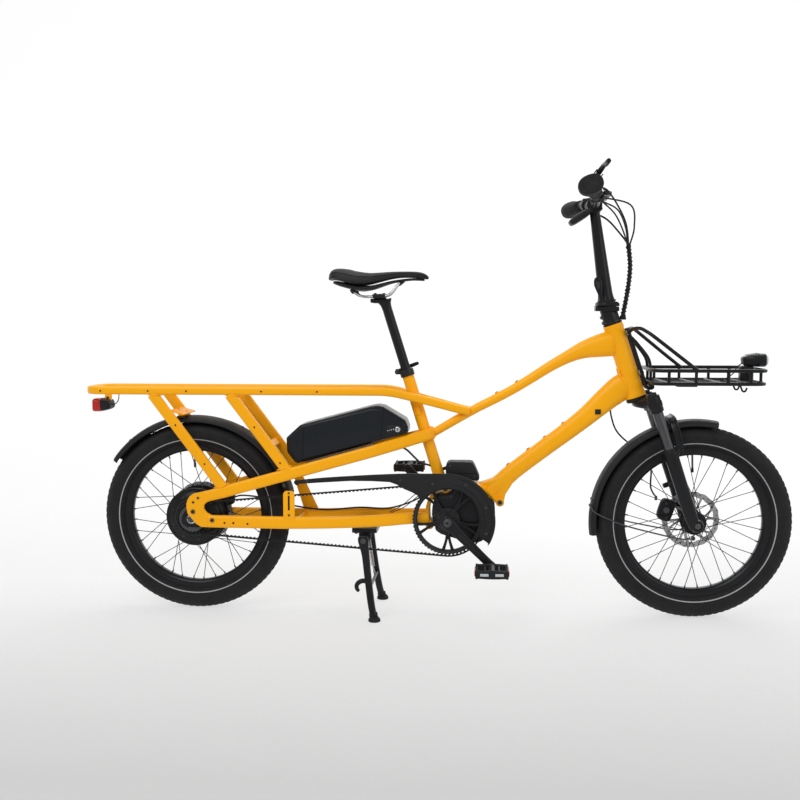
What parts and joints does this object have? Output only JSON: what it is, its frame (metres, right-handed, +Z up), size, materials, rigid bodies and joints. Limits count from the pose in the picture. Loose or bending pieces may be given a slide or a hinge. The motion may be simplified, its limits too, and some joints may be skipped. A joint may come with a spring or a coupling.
{
  "type": "cargo bicycle",
  "caption": "Longtail cargo bicycle with mid motor and belt drive, welded rear rack, front tray, folding handlebar stem, sprung fork, disc brakes and a double-leg stand.",
  "frame": {"origin": "on the ground, in the middle of the bicycle's length and width", "axes": "+X towards the front wheel, +Y to the bicycle's left, +Z up"},
  "size_m": [1.963, 0.6372, 1.2183],
  "materials": {
    "frame_paint": "satin",
    "black_alloy": "satin",
    "black_plastic": "matte",
    "battery_plastic": "satin",
    "grip_rubber": "matte",
    "belt_rubber": "matte",
    "tyre_rubber": "matte",
    "spoke_steel": "satin",
    "red_lens": "gloss",
    "saddle_skin": "matte"
  },
  "bodies": {
    "frame": {"head_and_top_tube": "frame_paint", "down_tube": "frame_paint", "seat_tube": "frame_paint", "motor_cradle": "frame_paint", "rear_frame_right": "frame_paint", "rear_frame_left": "frame_paint", "rack_rails": "frame_paint", "front_tray": "black_alloy", "front_light": "black_plastic", "rear_light": "red_lens", "rear_mudguard": "black_plastic", "kickstand_bracket": "black_alloy", "battery_tray": "black_plastic", "motor_housing": "black_plastic", "motor_cover": "black_plastic", "belt_guard": "black_plastic", "drive_belt": "belt_rubber", "rear_axle_carrier": "black_alloy", "rear_caliper": "black_alloy", "seat_clamp": "black_alloy"},
    "fork": {"fork_crown": "black_alloy", "stem_base": "black_alloy"},
    "fork_lowers": {"fork_lowers": "black_alloy", "front_axle": "black_alloy", "front_caliper": "black_alloy", "front_mudguard": "black_plastic", "front_brake_hose": "black_plastic"},
    "front_wheel": {"front_tyre": "tyre_rubber", "front_rim": "black_alloy", "front_spokes": "spoke_steel", "front_hub": "black_alloy", "front_rotor": "spoke_steel"},
    "rear_wheel": {"rear_tyre": "tyre_rubber", "rear_rim": "black_alloy", "rear_spokes": "spoke_steel", "rear_hub": "black_alloy", "rear_rotor": "spoke_steel"},
    "rear_sprocket": {"rear_sprocket": "black_alloy"},
    "crank": {"chainring": "black_plastic", "crank_arm_right": "black_alloy", "crank_arm_left": "black_alloy"},
    "pedal_right": {"pedal_right": "black_plastic"},
    "pedal_left": {"pedal_left": "black_plastic"},
    "kickstand": {"kickstand_legs": "black_alloy"},
    "stem": {"stem_post": "black_alloy", "handlebar": "black_alloy", "grip_left": "grip_rubber", "grip_right": "grip_rubber", "brake_perch_left": "black_alloy", "brake_perch_right": "black_alloy", "control_cables": "black_plastic"},
    "stem_latch": {"stem_latch": "black_alloy"},
    "brake_lever_left": {"brake_lever_left": "black_alloy"},
    "brake_lever_right": {"brake_lever_right": "black_alloy"},
    "twist_shifter": {"twist_shifter": "grip_rubber"},
    "seatpost": {"seatpost": "black_alloy", "saddle_frame": "black_plastic", "saddle_pad": "saddle_skin"},
    "seat_clamp_lever": {"seat_clamp_lever": "black_alloy"},
    "battery": {"battery_case": "battery_plastic"}
  },
  "joints": [
    {"name": "steering", "type": "hinge", "parent": "frame", "child": "fork", "pos_m": [0.55125, 0, 0.613], "axis": [-0.3205, 0, 0.9472], "range_deg": [-60, 60], "deforming": ["control_cables", "front_brake_hose"]},
    {"name": "suspension", "type": "slide", "parent": "fork", "child": "fork_lowers", "axis": [-0.3205, 0, 0.9472], "range_m": [0, 0.05], "stiffness_N_per_m": 9000, "springref_m": -0.02, "deforming": ["front_brake_hose"]},
    {"name": "front_wheel_spin", "type": "hinge", "parent": "fork_lowers", "child": "front_wheel", "pos_m": [0.71425, 0, 0.2675], "axis": [0, 1, 0], "continuous": true},
    {"name": "rear_wheel_spin", "type": "hinge", "parent": "frame", "child": "rear_wheel", "pos_m": [-0.68175, 0, 0.2675], "axis": [0, 1, 0], "continuous": true},
    {"name": "crank_spin", "type": "hinge", "parent": "frame", "child": "crank", "pos_m": [0.03825, 0, 0.274], "axis": [0, 1, 0], "continuous": true},
    {"name": "sprocket_spin", "type": "hinge", "parent": "frame", "child": "rear_sprocket", "pos_m": [-0.68175, 0, 0.2675], "axis": [0, 1, 0], "continuous": true},
    {"name": "pedal_right_spin", "type": "hinge", "parent": "crank", "child": "pedal_right", "pos_m": [0.1595, 0, 0.15485], "axis": [0, 1, 0], "continuous": true},
    {"name": "pedal_left_spin", "type": "hinge", "parent": "crank", "child": "pedal_left", "pos_m": [-0.083, 0, 0.39315], "axis": [0, 1, 0], "continuous": true},
    {"name": "kickstand_fold", "type": "hinge", "parent": "frame", "child": "kickstand", "pos_m": [-0.19475, 0, 0.216], "axis": [0, 1, 0], "range_deg": [0, 75], "stiffness_Nm_per_rad": 2, "springref_deg": -28.65},
    {"name": "stem_fold", "type": "hinge", "parent": "fork", "child": "stem", "pos_m": [0.46825, 0.027, 0.86], "axis": [-1, 0, 0], "range_deg": [0, 90], "deforming": ["control_cables"]},
    {"name": "stem_latch_open", "type": "hinge", "parent": "stem", "child": "stem_latch", "pos_m": [0.45025, -0.0315, 0.8665], "axis": [1, 0, 0], "range_deg": [0, 100]},
    {"name": "brake_left", "type": "hinge", "parent": "stem", "child": "brake_lever_left", "pos_m": [0.47125, 0.134, 1.18], "axis": [0, 0, 1], "range_deg": [0, 18], "stiffness_Nm_per_rad": 1, "springref_deg": -17.19},
    {"name": "brake_right", "type": "hinge", "parent": "stem", "child": "brake_lever_right", "pos_m": [0.42429, -0.134, 1.19928], "axis": [0.788, 0, -0.6157], "range_deg": [0, 16], "stiffness_Nm_per_rad": 1, "springref_deg": -17.19},
    {"name": "shifter_turn", "type": "hinge", "parent": "stem", "child": "twist_shifter", "pos_m": [0.41375, -0.16, 1.149], "axis": [-0.1389, -0.9899, 0.0295], "range_deg": [-90, 90]},
    {"name": "saddle_height", "type": "slide", "parent": "frame", "child": "seatpost", "axis": [-0.2993, 0, 0.9542], "range_m": [-0.115, 0.08]},
    {"name": "seat_clamp_open", "type": "hinge", "parent": "frame", "child": "seat_clamp_lever", "pos_m": [-0.10775, 0.0125, 0.679], "axis": [-0.2993, 0, 0.9542], "range_deg": [0, 130]},
    {"name": "battery_release", "type": "slide", "parent": "frame", "child": "battery", "axis": [0, -1, 0], "range_m": [0, 0.16]}
  ],
  "couplings": [
    {"joint": "sprocket_spin", "follows": "crank_spin", "ratio": 2.4167}
  ]
}
